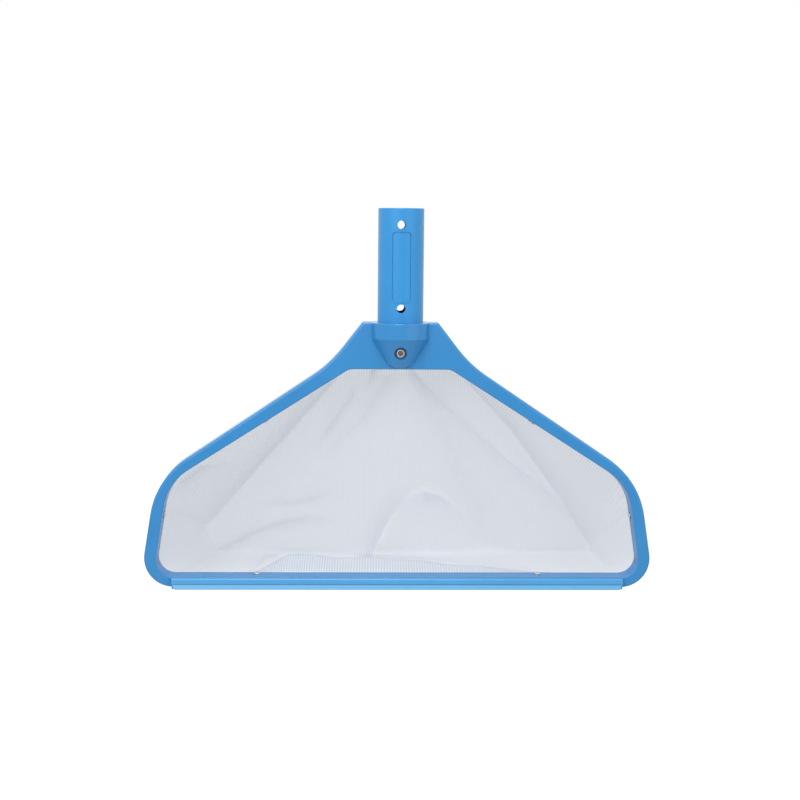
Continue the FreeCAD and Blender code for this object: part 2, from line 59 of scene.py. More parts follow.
# The mouth of the moulded frame, right half: corner x, corner z and blend radius, in mm.
MOUTH = ((44.7, -140.6, 12.0), (204.8, -242.8, 48.0), (218.3, -327.5, 16.0))
HEM_OFFSET = 2.4  # the middle of the hem, outside the mouth's edge
CHANNEL_BACK = 8.5  # y of the channel's open back
HEM_FRONT = -2.4
ARC_STEPS = 14  # steps of each rounded corner of the hem's line
EYE = (-45.0, -1290.3, -10.0)  # where the photograph was taken from, in mm
AIM = (0.4, 0.0, -168.6)  # the point in the middle of the photograph, in mm
ROLL = 0.552  # the camera's tilt, in degrees
LENS = 66.06  # the camera's lens on a sensor 36 mm wide, in mm


def linear(hex_colour):
    """An sRGB hex colour as the linear colour that Blender works in."""
    parts = [int(hex_colour[i : i + 2], 16) / 255 for i in (1, 3, 5)]
    return tuple(c / 12.92 if c <= 0.04045 else ((c + 0.055) / 1.055) ** 2.4 for c in parts)


def colour_property(name, text, hex_colour):
    """A colour that the panel shows, with its default as an sRGB hex colour."""
    return FloatVectorProperty(
        name=name,
        description=text,
        subtype="COLOR",
        min=0.0,
        max=1.0,
        default=linear(hex_colour),
    )


class SkimmerColours(bpy.types.PropertyGroup):
    socket: colour_property("Socket", "Moulded plastic of the pole socket", "#2688c7")
    frame: colour_property("Frame", "Moulded plastic of the frame and its hub", "#2d81bd")
    strip: colour_property("Lip strip", "Moulded plastic of the clip-on strip", "#4698ce")
    blade: colour_property("Lip blade", "Soft vinyl of the scraper blade", "#58a0cd")
    clamp: colour_property("Clamp ring", "Pale plastic of the clamp ring", "#d3dae2")
    mesh: colour_property("Net", "Knitted yarn of the bag", "#cbd1da")
    tape: colour_property("Hem tape", "Woven tape round the bag's mouth", "#e9edf5")
    floor: colour_property("Floor", "Studio floor", "#d2d2d2")


class SkimmerSizes(bpy.types.PropertyGroup):
    rib_spacing: FloatProperty(
        name="Rib spacing",
        description="Distance between the upright ribs of the knitted mesh",
        subtype="DISTANCE",
        default=2.2 * MM,
    )
    fold_depth: FloatProperty(
        name="Fold depth",
        description="How deep the bag's folds are, as a share of the measured ones",
        default=1.0,
    )
    hem_thickness: FloatProperty(
        name="Hem thickness",
        description="Thickness of the tape hem",
        subtype="DISTANCE",
        default=0.75 * MM,
    )
    floor_glow: FloatProperty(
        name="Floor glow",
        description="Light that the floor adds for the camera alone, so that it looks white",
        default=0.46,
    )
    surround_light: FloatProperty(
        name="Surrounding light",
        description="Strength of the soft light from all round the object",
        default=0.86,
    )
    floor_drop: FloatProperty(
        name="Floor drop",
        description="Height that the head hangs above the floor",
        subtype="DISTANCE",
        default=0.28,
    )
    lamp_power: FloatProperty(
        name="Lamp power",
        description="Power of the key softbox",
        subtype="POWER",
        default=8.0,
    )


def colours():
    """The scene's colours, as the panel sets them."""
    return bpy.context.scene.skimmer_colours


def sizes():
    """The scene's sizes, as the panel sets them."""
    return bpy.context.scene.skimmer_sizes


# Materials


def add(tree, kind, settings):
    """Adds a node: a setting is an input's value, an input's link or the node's own."""
    made = tree.nodes.new("ShaderNode" + kind)
    for key, value in settings.items():
        if isinstance(value, bpy.types.NodeSocket):
            tree.links.new(value, made.inputs[key])
        elif isinstance(key, int) or key in made.inputs:
            made.inputs[key].default_value = value
        else:
            setattr(made, key, value)
    return made


def new_material(name):
    """An empty node material with its output and a Principled shader joined to it."""
    material = bpy.data.materials.new(name)
    material.use_nodes = True
    tree = material.node_tree
    tree.nodes.clear()
    shader = add(tree, "BsdfPrincipled", {})
    add(tree, "OutputMaterial", {"Surface": shader.outputs["BSDF"]})
    return material, tree, shader


def shifted(colour, factor):
    """A linear colour made darker or lighter by a factor, with its alpha."""
    return (*[min(1.0, c * factor) for c in colour], 1.0)


def moulded_plastic(name, colour, roughness, peel_mm=0.9, peel_depth=0.004):
    """Polypropylene from a polished mould: an even blue with a soft satin gloss, a faint
    orange peel from the shrinking wall, and slow clouds of darker and lighter pigment."""
    material, tree, shader = new_material(name)
    place = add(tree, "TexCoord", {}).outputs["Object"]
    clouds = add(tree, "TexNoise", {"Vector": place, "Scale": 1 / (38 * MM), "Detail": 2.0})
    tone = add(
        tree,
        "Mix",
        {
            "data_type": "RGBA",
            0: clouds.outputs["Fac"],
            6: shifted(colour, 0.93),
            7: shifted(colour, 1.07),
        },
    )
    haze = add(tree, "TexNoise", {"Vector": place, "Scale": 1 / (9 * MM), "Detail": 5.0})
    gloss = add(
        tree,
        "MapRange",
        {
            "Value": haze.outputs["Fac"],
            "To Min": roughness - 0.05,
            "To Max": roughness + 0.07,
        },
    )
    peel = add(
        tree, "TexNoise", {"Vector": place, "Scale": 1 / (peel_mm * MM), "Detail": 3.0}
    )
    bump = add(
        tree,
        "Bump",
        {"Height": peel.outputs["Fac"], "Strength": 0.35, "Distance": peel_depth * MM},
    )
    tree.links.new(tone.outputs[2], shader.inputs["Base Color"])
    tree.links.new(gloss.outputs["Result"], shader.inputs["Roughness"])
    tree.links.new(bump.outputs["Normal"], shader.inputs["Normal"])
    shader.inputs["IOR"].default_value = 1.49
    return material


def soft_vinyl(name, colour):
    """Extruded soft PVC: paler than the strip, slightly see-through, with fine die lines
    along its length and a duller bloom in slow clouds."""
    material, tree, shader = new_material(name)
    place = add(tree, "TexCoord", {}).outputs["Object"]
    along = add(tree, "Mapping", {"Vector": place, "Scale": (0.02, 1.0, 1.0)})
    lines = add(
        tree,
        "TexNoise",
        {"Vector": along.outputs["Vector"], "Scale": 1 / (0.5 * MM), "Detail": 2.0},
    )
    bloom = add(tree, "TexNoise", {"Vector": place, "Scale": 1 / (14 * MM), "Detail": 4.0})
    tone = add(
        tree,
        "Mix",
        {
            "data_type": "RGBA",
            0: bloom.outputs["Fac"],
            6: shifted(colour, 0.95),
            7: shifted(colour, 1.05),
        },
    )
    gloss = add(
        tree,
        "MapRange",
        {"Value": bloom.outputs["Fac"], "To Min": 0.3, "To Max": 0.46},
    )
    bump = add(
        tree,
        "Bump",
        {"Height": lines.outputs["Fac"], "Strength": 0.3, "Distance": 0.01 * MM},
    )
    tree.links.new(tone.outputs[2], shader.inputs["Base Color"])
    tree.links.new(gloss.outputs["Result"], shader.inputs["Roughness"])
    tree.links.new(bump.outputs["Normal"], shader.inputs["Normal"])
    shader.inputs["IOR"].default_value = 1.53
    shader.inputs["Subsurface Weight"].default_value = 0.15
    shader.inputs["Subsurface Radius"].default_value = (0.3, 0.6, 1.0)
    shader.inputs["Subsurface Scale"].default_value = 1.0 * MM
    return material


def worked_metal(name, hex_colour, roughness, mark_mm, mark_depth, recess=None):
    """Plated steel or aluminium as it leaves the tumbler: bright, with small dull scuffs
    and the fine marks of heading or drawing, and painted shade and reflection, dark brown, down
    in a driver's recess."""
    material, tree, shader = new_material(name)
    place = add(tree, "TexCoord", {}).outputs["Object"]
    scuffs = add(
        tree, "TexNoise", {"Vector": place, "Scale": 1 / (mark_mm * MM), "Detail": 6.0}
    )
    gloss = add(
        tree,
        "MapRange",
        {
            "Value": scuffs.outputs["Fac"],
            "From Min": 0.35,
            "From Max": 0.7,
            "To Min": roughness,
            "To Max": roughness + 0.22,
        },
    )
    tone = add(
        tree,
        "Mix",
        {
            "data_type": "RGBA",
            0: scuffs.outputs["Fac"],
            6: shifted(linear(hex_colour), 0.86),
            7: shifted(linear(hex_colour), 1.08),
        },
    )
    bump = add(
        tree,
        "Bump",
        {
            "Height": scuffs.outputs["Fac"],
            "Strength": 0.4,
            "Distance": mark_depth * MM,
        },
    )
    finish = tone.outputs[2]
    # Painted shade and reflection in the driver's recess: a dark brown disc round its middle,
    # mottled by the scuffs, in place of the lit metal.
    if recess:
        middle, radius = recess
        offset = add(tree, "VectorMath", {"operation": "SUBTRACT", 0: place, 1: middle})
        flat = add(
            tree,
            "VectorMath",
            {"operation": "MULTIPLY", 0: offset.outputs[0], 1: (1.0, 0.0, 1.0)},
        )
        away = add(tree, "VectorMath", {"operation": "LENGTH", 0: flat.outputs[0]})
        outside_recess = add(
            tree,
            "MapRange",
            {
                "Value": away.outputs["Value"],
                "From Min": radius * 0.8,
                "From Max": radius * 1.1,
            },
        )
        recess_shade = add(
            tree,
            "Mix",
            {
                "data_type": "RGBA",
                0: scuffs.outputs["Fac"],
                6: shifted(linear("#4b3a31"), 1.0),
                7: shifted(linear("#a2948a"), 1.0),
            },
        )
        both = add(
            tree,
            "Mix",
            {
                "data_type": "RGBA",
                0: outside_recess.outputs["Result"],
                6: recess_shade.outputs[2],
                7: tone.outputs[2],
            },
        )
        finish = both.outputs[2]
    tree.links.new(finish, shader.inputs["Base Color"])
    tree.links.new(gloss.outputs["Result"], shader.inputs["Roughness"])
    tree.links.new(bump.outputs["Normal"], shader.inputs["Normal"])
    shader.inputs["Metallic"].default_value = 1.0
    return material


def knitted_mesh(name, colour):
    """Warp-knitted polyester net: fine upright ribs of yarn with open ladders between
    them, so that a pale background shows through, and less of it where cloth lies double. Along
    the folds the cloth is made denser too, which paints in their shade.
    The ribs are drawn 2.2 mm apart, coarser than the yarn, as they show in a picture."""
    cover = 0.67  # the share of the cloth that yarn covers
    rib_cover = 0.09  # how much more of it on a rib than between two
    doubled_and_shade_cover = 0.35  # how much more of it where the cloth lies double, and where it is made denser as painted fold shade
    most_cover = 0.97
    rung_spacing = 1.1 * MM
    rung_share = 0.12  # how much a rung shows beside a rib
    material, tree, shader = new_material(name)
    cloth = add(tree, "UVMap", {"uv_map": "cloth"}).outputs["UV"]
    doubled_and_fold_shade = add(tree, "Attribute", {"attribute_name": "doubled_and_fold_shade"}).outputs["Fac"]
    split = add(tree, "SeparateXYZ", {"Vector": cloth})
    across = add(
        tree,
        "Math",
        {
            "operation": "MULTIPLY",
            0: split.outputs["X"],
            1: 2 * math.pi / sizes().rib_spacing,
        },
    )
    wave = add(tree, "Math", {"operation": "SINE", 0: across.outputs[0]})
    rib = add(
        tree,
        "MapRange",
        {"Value": wave.outputs[0], "From Min": -0.7, "From Max": 0.7},
    )
    down = add(
        tree,
        "Math",
        {"operation": "MULTIPLY", 0: split.outputs["Y"], 1: 2 * math.pi / rung_spacing},
    )
    rung = add(tree, "Math", {"operation": "SINE", 0: down.outputs[0]})
    weave = add(
        tree,
        "Math",
        {
            "operation": "MULTIPLY_ADD",
            0: rung.outputs[0],
            1: rung_share,
            2: rib.outputs["Result"],
        },
    )
    clouds = add(
        tree, "TexNoise", {"Vector": cloth, "Scale": 1 / (30 * MM), "Detail": 3.0}
    )
    ribbed = add(tree, "Attribute", {"attribute_name": "ribbed"}).outputs["Fac"]
    centred = add(tree, "Math", {"operation": "SUBTRACT", 0: weave.outputs[0], 1: 0.5})
    relief = add(
        tree, "Math", {"operation": "MULTIPLY", 0: centred.outputs[0], 1: ribbed}
    )
    dense = add(
        tree,
        "Math",
        {"operation": "MULTIPLY_ADD", 0: relief.outputs[0], 1: rib_cover, 2: cover},
    )
    # Denser cloth where it lies double, and along its folds, where the extra density paints the
    # folds' shade.
    thick = add(
        tree,
        "Math",
        {"operation": "MULTIPLY_ADD", 0: doubled_and_fold_shade, 1: doubled_and_shade_cover, 2: dense.outputs[0]},
    )
    alpha = add(
        tree, "Math", {"operation": "MINIMUM", 0: thick.outputs[0], 1: most_cover}
    )
    tone = add(
        tree,
        "Mix",
        {
            "data_type": "RGBA",
            0: clouds.outputs["Fac"],
            6: shifted(colour, 0.97),
            7: shifted(colour, 1.03),
        },
    )
    bump = add(
        tree,
        "Bump",
        {"Height": weave.outputs[0], "Strength": 0.5, "Distance": 0.12 * MM},
    )
    tree.links.new(tone.outputs[2], shader.inputs["Base Color"])
    tree.links.new(alpha.outputs[0], shader.inputs["Alpha"])
    tree.links.new(bump.outputs["Normal"], shader.inputs["Normal"])
    shader.inputs["Roughness"].default_value = 0.75
    shader.inputs["Sheen Weight"].default_value = 0.15
    shader.inputs["Sheen Roughness"].default_value = 0.5
    return material


def woven_tape(name, colour):
    """Polyester binding tape: a close plain weave, bright white and dull. Its threads are
    drawn 0.7 mm apart."""
    thread_spacing = 0.7 * MM
    material, tree, shader = new_material(name)
    cloth = add(tree, "UVMap", {"uv_map": "cloth"}).outputs["UV"]
    split = add(tree, "SeparateXYZ", {"Vector": cloth})
    threads = []
    for axis in ("X", "Y"):
        turn = add(
            tree,
            "Math",
            {
                "operation": "MULTIPLY",
                0: split.outputs[axis],
                1: 2 * math.pi / thread_spacing,
            },
        )
        threads.append(add(tree, "Math", {"operation": "SINE", 0: turn.outputs[0]}))
    weave = add(
        tree,
        "Math",
        {
            "operation": "MULTIPLY",
            0: threads[0].outputs[0],
            1: threads[1].outputs[0],
        },
    )
    tone = add(
        tree,
        "MapRange",
        {"Value": weave.outputs[0], "From Min": -1.0, "To Min": 0.0, "To Max": 1.0},
    )
    shade = add(
        tree,
        "Mix",
        {
            "data_type": "RGBA",
            0: tone.outputs["Result"],
            6: shifted(colour, 0.88),
            7: shifted(colour, 1.0),
        },
    )
    bump = add(
        tree,
        "Bump",
        {"Height": weave.outputs[0], "Strength": 0.5, "Distance": 0.05 * MM},
    )
    tree.links.new(shade.outputs[2], shader.inputs["Base Color"])
    tree.links.new(bump.outputs["Normal"], shader.inputs["Normal"])
    shader.inputs["Roughness"].default_value = 0.8
    return material


def finish_nodes(material, *names):
    """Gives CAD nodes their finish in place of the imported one."""
    for name in names:
        mesh = frame["nodes"][name].data
        mesh.materials.clear()
        mesh.materials.append(material)


# The bag's cloth


def arc_corner(before, corner, after, blend):
    """Points of the arc that rounds a corner off."""
    ax, az = before[0] - corner[0], before[1] - corner[1]
    bx, bz = after[0] - corner[0], after[1] - corner[1]
    la, lb = math.hypot(ax, az), math.hypot(bx, bz)
    ax, az, bx, bz = ax / la, az / la, bx / lb, bz / lb
    half = math.acos(max(-1.0, min(1.0, ax * bx + az * bz))) / 2
    run = blend / math.tan(half)
    mx, mz = ax + bx, az + bz
    lm = math.hypot(mx, mz)
    centre = (
        corner[0] + mx / lm * blend / math.sin(half),
        corner[1] + mz / lm * blend / math.sin(half),
    )
    start = (corner[0] + ax * run - centre[0], corner[1] + az * run - centre[1])
    end = (corner[0] + bx * run - centre[0], corner[1] + bz * run - centre[1])
    first = math.atan2(start[1], start[0])
    sweep = (math.atan2(end[1], end[0]) - first + math.pi) % (2 * math.pi) - math.pi
    return [
        (
            centre[0] + blend * math.cos(first + sweep * i / ARC_STEPS),
            centre[1] + blend * math.sin(first + sweep * i / ARC_STEPS),
        )
        for i in range(ARC_STEPS + 1)
    ]


def hem_line():
    """The right half of the hem, from the middle of the top to the middle of the bottom,
    as points with the distance run along it."""
    corners = [(c[0], c[1]) for c in MOUTH]
    ends = [(0.0, MOUTH[0][1]), *corners, (0.0, MOUTH[2][1])]
    points = [ends[0]]
    for i, (_, _, blend) in enumerate(MOUTH):
        points += arc_corner(ends[i], ends[i + 1], ends[i + 2], blend)
    points.append(ends[-1])
    points = np.array(points)
    step = np.gradient(points, axis=0)
    step /= np.linalg.norm(step, axis=1)[:, None]
    points[1:-1] += HEM_OFFSET * np.stack([-step[:, 1], step[:, 0]], axis=1)[1:-1]
    points[0, 1] += HEM_OFFSET
    points[-1, 1] -= HEM_OFFSET
    run = np.concatenate([[0], np.cumsum(np.linalg.norm(np.diff(points, axis=0), axis=1))])
    return points, run


HEM, HEM_RUN = hem_line()
# How far along the hem the side bar's straight stretch starts and ends: between the end of
# the second corner's arc and the start of the third's.
BAR_TOP_RUN, BAR_LOW_RUN = HEM_RUN[2 * (ARC_STEPS + 1) : 2 * (ARC_STEPS + 1) + 2]


def on_hem(run):
    """Points of the hem at distances run along its right half."""
    return np.stack(
        [np.interp(run, HEM_RUN, HEM[:, 0]), np.interp(run, HEM_RUN, HEM[:, 1])], axis=-1
    )


def run_at(x, lower=False):
    """How far along the hem's right half x lies, on its upper or its lower run."""
    widest = int(np.argmax(HEM[:, 0]))
    if lower:
        return np.interp(x, HEM[widest:, 0][::-1], HEM_RUN[widest:][::-1])
    return np.interp(x, HEM[: widest + 1, 0], HEM_RUN[: widest + 1])


# The bag's back panel: depth and height of its upper edge, and how it leans back.
PANEL_TOP_Y = 41.7
PANEL_TOP_Z = -148.7
PANEL_LEAN = 0.344  # mm back for each mm down
PANEL_BOTTOM = -331.5
# The panel's slanted edge on each side, from its top, as half width and z in mm, and its
# half width at the panel's lower edge.
PANEL_EDGE = {
    -1: ((51.7, -149.0), (89.9, -194.9), (135.0, -248.2), (179.1, -300.7)),
    1: ((56.2, -149.0), (64.7, -158.0), (105.7, -201.5), (164.3, -281.2), (189.1, -322.8)),
}
PANEL_FOOT = {-1: 172.0, 1: 190.0}
TOP_SPREAD = 0.115  # how much wider than on the panel the cloth lies at the upper hem
SPREAD_POWER = 1.5  # how late on the way out to the panel's corner it spreads
LOW_SPREAD = 1.12  # how much wider it lies at the lower hem, as a factor
FLOOR_SAG = 5.0  # mm
SIDE_EASE = 0.35  # how softly the side walls turn at the panel and at the bars, 0 to 1
# Rows of the cloth's grid in each stretch, from the upper hem down: in the channel, on the
# sloping upper wall, on the back panel and on the bag's floor.
ROWS = {"channel": 3, "wall": 26, "panel": 108, "floor": 56}
COLUMNS_INSIDE = 144  # from the middle to the panel's corner, on each side
COLUMNS_BESIDE = 40  # from there to the side bar


def panel_y(z):
    """Depth of the bag's back panel: it leans back towards its lower edge."""
    return PANEL_TOP_Y + (PANEL_TOP_Z - z) * PANEL_LEAN


def eased(t):
    """0 to 1 with a soft start and end."""
    return t * t * (3 - 2 * t)


def column(side, inside, beside):
    """One column of the cloth, from the upper hem to the lower one: inside runs 0 to 1
    across the panel, beside 0 to 1 from the panel's side to the side bar."""
    edge_x, edge_zs = zip(*PANEL_EDGE[side])
    x = edge_x[-1] * inside
    edge_z = np.interp(x, edge_x, edge_zs)
    top_run = run_at(x * (1 + TOP_SPREAD * inside**SPREAD_POWER))
    low_run = run_at(x * LOW_SPREAD, lower=True)
    top = on_hem(top_run + (BAR_TOP_RUN - top_run) * beside)
    low = on_hem(low_run + (BAR_LOW_RUN - low_run) * beside)
    first = np.array([top[0], CHANNEL_BACK, top[1]])
    last = np.array([low[0], CHANNEL_BACK, low[1]])
    edge = np.array([x, panel_y(edge_z), edge_z])
    foot_x = x * PANEL_FOOT[side] / edge_x[-1]
    foot = np.array([foot_x, panel_y(PANEL_BOTTOM), PANEL_BOTTOM])
    bar_top = on_hem(BAR_TOP_RUN)
    bar_low = on_hem(BAR_LOW_RUN)
    wall, panel, floor = (ROWS[name] for name in ("wall", "panel", "floor"))
    share_drawn = eased(beside) * SIDE_EASE + beside * (1 - SIDE_EASE)

    def drawn(point, row):
        """The point drawn towards the side bar, at the height where its row meets it."""
        bar = bar_top + (bar_low - bar_top) * row / (wall + panel + floor)
        return point + (np.array([bar[0], CHANNEL_BACK, bar[1]]) - point) * share_drawn

    channel = np.linspace(HEM_FRONT, CHANNEL_BACK, ROWS["channel"] + 1)
    points = [(top[0], y, top[1]) for y in channel[:-1]]
    side_edge = drawn(edge, wall)
    points += [first + (side_edge - first) * i / wall for i in range(wall)]
    points += [drawn(edge + (foot - edge) * i / panel, wall + i) for i in range(panel)]
    side_foot = drawn(foot, wall + panel)
    for i in range(floor + 1):
        point = side_foot + (last - side_foot) * i / floor
        point[2] -= FLOOR_SAG * math.sin(math.pi * i / floor) * (1 - beside)
        points.append(point)
    points += [(low[0], y, low[1]) for y in channel[-2::-1]]
    points = np.array(points)
    points[:, 0] *= side
    return points


def cloth_grid():
    """The bag's cloth as a grid: columns from left to right, rows from hem to hem."""
    right, left = [], []
    for side, made in ((1, right), (-1, left)):
        for i in range(COLUMNS_INSIDE + 1):
            made.append(column(side, i / COLUMNS_INSIDE, 0.0))
        for i in range(1, COLUMNS_BESIDE + 1):
            made.append(column(side, 1.0, i / COLUMNS_BESIDE))
    return np.array(left[:0:-1] + right)


def seen(points):
    """Where points are seen on the mouth's plane from the photograph's place, in mm."""
    eye = np.array(EYE)
    near = -eye[1] / (points[..., 1] - eye[1])
    x = eye[0] + (points[..., 0] - eye[0]) * near
    z = eye[2] + (points[..., 2] - eye[2]) * near
    return np.stack([x, z], axis=-1)


def to_line(places, line):
    """Signed distance to a line of points, plus on the right of its way, and how far along
    it the nearest place lies, from 0 to 1."""
    best = np.full(places.shape[:-1], np.inf)
    signed = np.zeros_like(best)
    share = np.zeros_like(best)
    line = np.array(line, float)
    lengths = np.linalg.norm(np.diff(line, axis=0), axis=1)
    start_run = np.concatenate([[0], np.cumsum(lengths)])
    for i, length in enumerate(lengths):
        way = (line[i + 1] - line[i]) / length
        offset = places - line[i]
        along = np.clip(offset @ way, 0, length)
        nearest = offset - along[..., None] * way
        distance = np.linalg.norm(nearest, axis=-1)
        cross = offset[..., 0] * way[1] - offset[..., 1] * way[0]
        closer = distance < best
        best = np.where(closer, distance, best)
        signed = np.where(closer, np.sign(cross) * distance, signed)
        share = np.where(closer, (start_run[i] + along) / start_run[-1], share)
    return signed, share


# Lines that the bag's folds and pleats follow, as they are seen on the mouth's plane, in mm.
LEFT_EDGE = [(-57, -151), (-88, -187), (-130, -235), (-170, -281)]
RIGHT_EDGE = [(61, -153), (99, -193), (151, -264), (172, -300)]
LONG_FOLD = [(9, -144), (28, -162), (48, -180), (96, -222), (151, -264)]
LEFT_DRAPE = [(-10, -148), (-22, -168), (-35, -189), (-53, -207), (-64, -219)]
RIGHT_DRAPE = [(27, -162), (38, -189), (55, -228), (70, -270), (86, -310)]
LEFT_TUCK = [(-41, -163), (-64, -198), (-76, -219)]
FOOT_FOLD = [(-161, -307), (-127, -289), (-100, -280), (-67, -275)]
SHORT_FOLD = [(-112, -262), (-91, -262), (-70, -257), (-52, -249)]
WALL_FOLD = [(-195, -244), (-177, -230), (-153, -226)]
ARCH_SIDE = [(-25, -310), (-18, -293), (-11, -279), (-2, -266), (7, -258)]
ARCH = [*ARCH_SIDE, (22, -251), (37, -255), (55, -270)]
ARCH_CROWN = [(-4, -268), *ARCH[4:]]
FLAP_TOP = [
    (-130, -324), (-118, -312), (-103, -306), (-52, -307),
    (-22, -310), (38, -314), (98, -319), (128, -325),
]
PATCH_EDGE = [(-207, -265), (-198, -266), (-180, -271), (-170, -281), (-164, -298), (-162, -319)]

# Folds: each one's line, its depth in mm at the line's start, middle and end (minus is
# towards the mouth), and how wide it is in mm on the left and on the right of its way.
FOLDS = (
    (LEFT_EDGE, (3.0, 4.0, 3.0), 9.0, 2.5),
    (RIGHT_EDGE, (2.0, 4.0, 3.0), 2.5, 9.0),
    (LONG_FOLD, (-5, -6, -2), 2.5, 12.0),
    ([(8, -144), (21, -161), (36, -177), (51, -186)], (4, 4, 0), 12.0, 2.5),
    ([(-26, -148), (-38, -160), (-50, -177), (-56, -189), (-64, -194)], (-4, -5, -1), 5.0, 6.0),
    (LEFT_DRAPE, (6, 6, 2), 7.0, 18.0),
    (LEFT_TUCK, (3, 3, 0), 3.0, 6.0),
    (RIGHT_DRAPE, (2, 5, 3), 14.0, 16.0),
    ([(0, -147), (4, -189), (7, -228)], (-3, -3, 0), 18.0, 18.0),
    (FOOT_FOLD, (3, 4, 0), 3.0, 12.0),
    (SHORT_FOLD, (1, 3, 0), 3.0, 9.0),
    (WALL_FOLD, (4, 4, 0), 2.5, 7.0),
    ([(95, -313), (128, -307), (173, -303)], (2, 3, 0), 3.0, 14.0),
)
FOLD_POWER = 1.4  # how steeply a fold ends at its width

# Pleats, where the cloth lies in folds over itself and is denser, and painted shade along the
# folds, where the dense band darkens the cloth as the folds' shadow would: each one's line, how
# dense it is at the line's start, middle and end, and how wide the dense band is in mm on the
# left and on the right of its way.
PLEATS_AND_FOLD_SHADE = (
    (LEFT_EDGE, (0.4, 0.35, 0.15), 0.8, 10.0),
    ([*RIGHT_EDGE, (183, -313)], (0.3, 0.3, 0.15), 9.0, 0.8),
    (LONG_FOLD, (0.12, 0.28, 0.15), 0.8, 5.0),
    ([(-23, -142), (-26, -151), (-33, -160)], (0.65, 0.3, 0.0), 3.0, 2.0),
    ([(12, -142), (19, -152), (30, -163)], (0.4, 0.2, 0.0), 1.5, 3.0),
    (LEFT_DRAPE, (0.15, 0.2, 0.1), 7.0, 3.0),
    (LEFT_TUCK, (0.3, 0.3, 0.0), 3.0, 3.0),
    (RIGHT_DRAPE, (0.15, 0.12, 0.1), 14.0, 14.0),
    (FOOT_FOLD, (0.15, 0.22, 0.15), 2.5, 6.0),
    (SHORT_FOLD, (0.1, 0.2, 0.0), 1.5, 5.0),
    (WALL_FOLD, (0.3, 0.35, 0.1), 1.0, 6.0),
    (ARCH_SIDE, (0.55, 0.55, 0.35), 7.0, 0.6),
    (ARCH_CROWN, (0.1, 0.6, 0.1), 0.6, 7.0),
    (FLAP_TOP, (0.3, 0.5, 0.2), 3.5, 0.7),
)
PLEAT_SHADE_POWER = 1.3  # how steeply a pleat's dense band of painted shade ends at its width

# The arch that stands forward at the panel's foot: its height in mm at three places across
# the mouth.
ARCH_HEIGHT = ((-25, 20, 55), (4.0, 4.0, 0.8))
ARCH_SOFT = 1.6  # how soft its edge is, in mm
ARCH_FADE = 26.0  # how far inside its edge it dies out, in mm
ARCH_SKIRT = 9.0  # how far outside its edge the cloth dips, in mm
ARCH_DIP = 0.35  # how deep the cloth dips there, as a share of the arch's height

# The doubled patch at the left end of the floor.
PATCH_DENSITY = 0.08  # how much denser it is
PATCH_SOFT = 0.8  # how soft its edge is, in mm
PATCH_END = -150  # it lies further left than this, in mm

# The flap that the floor's front edge makes: how high it stands in mm at places across the
# mouth.
FLAP_RISE = ((-160, -128, -100, -30, 60, 125, 190), (0, 3, 19, 17, 10, 3, 0))
FLAP_CREST = 8  # rows of the grid from the lower hem to its crest
FLAP_WIDTH = 6.0  # rows that it is wide on each side of the crest
FLAP_RIPPLE = 1.5  # how much it ripples where it is highest, in mm
FLAP_WAVES = (11.0, 37.0)  # mm for each radian of its two waves

FIRST_SMOOTHING = 22  # times that the plain cloth is smoothed
LAST_SMOOTHING = 4  # times that it is smoothed with its folds
HELD_ROWS = 8  # rows next to the hem in which the folds die out
HELD_COLUMNS = 10  # columns next to the side bars in which they do
FLOOR_ROWS = 6.0  # rows above the floor in which they do
RIBS_EVERYWHERE = 0.3  # how much the ribs show all over the bag
RIBS_AT_HEM = 1.5  # how much more they show at the hem
RIBBED_BAND = 9.0  # how far from the hem they do so, in mm


def step_over(signed, softness):
    """0 on the left of a line and 1 on its right, with a soft edge."""
    return 1 / (1 + np.exp(-signed / softness))


def faded(depths, share):
    """A value given at a line's start, middle and end, at any share of the way."""
    return np.interp(share, (0.0, 0.5, 1.0), depths)


def fold_depth(places):
    """How far each point of the cloth moves back, from the folds that lie on it."""
    depth = np.zeros(places.shape[:-1])
    for line, depths, left, right in FOLDS:
        signed, share = to_line(places, line)
        width = np.where(signed < 0, left, right)
        depth += faded(depths, share) * np.exp(-((np.abs(signed) / width) ** FOLD_POWER))
    signed = to_line(places, ARCH)[0]
    inside = step_over(signed, ARCH_SOFT)
    fade = np.exp(-np.maximum(signed, 0) / ARCH_FADE)
    outside = np.exp(-((np.minimum(signed, 0) / ARCH_SKIRT) ** 2))
    height = np.interp(places[..., 0], *ARCH_HEIGHT)
    depth += -height * inside * fade + ARCH_DIP * height * (1 - inside) * outside
    return depth


def smoothed(grid, times, free):
    """The grid with each free point drawn towards its neighbours, a few times over."""
    for _ in range(times):
        mean = grid.copy()
        mean[1:-1, 1:-1] = (
            grid[:-2, 1:-1] + grid[2:, 1:-1] + grid[1:-1, :-2] + grid[1:-1, 2:]
        ) / 4
        grid = np.where(free[..., None], (grid + mean) / 2, grid)
    return grid


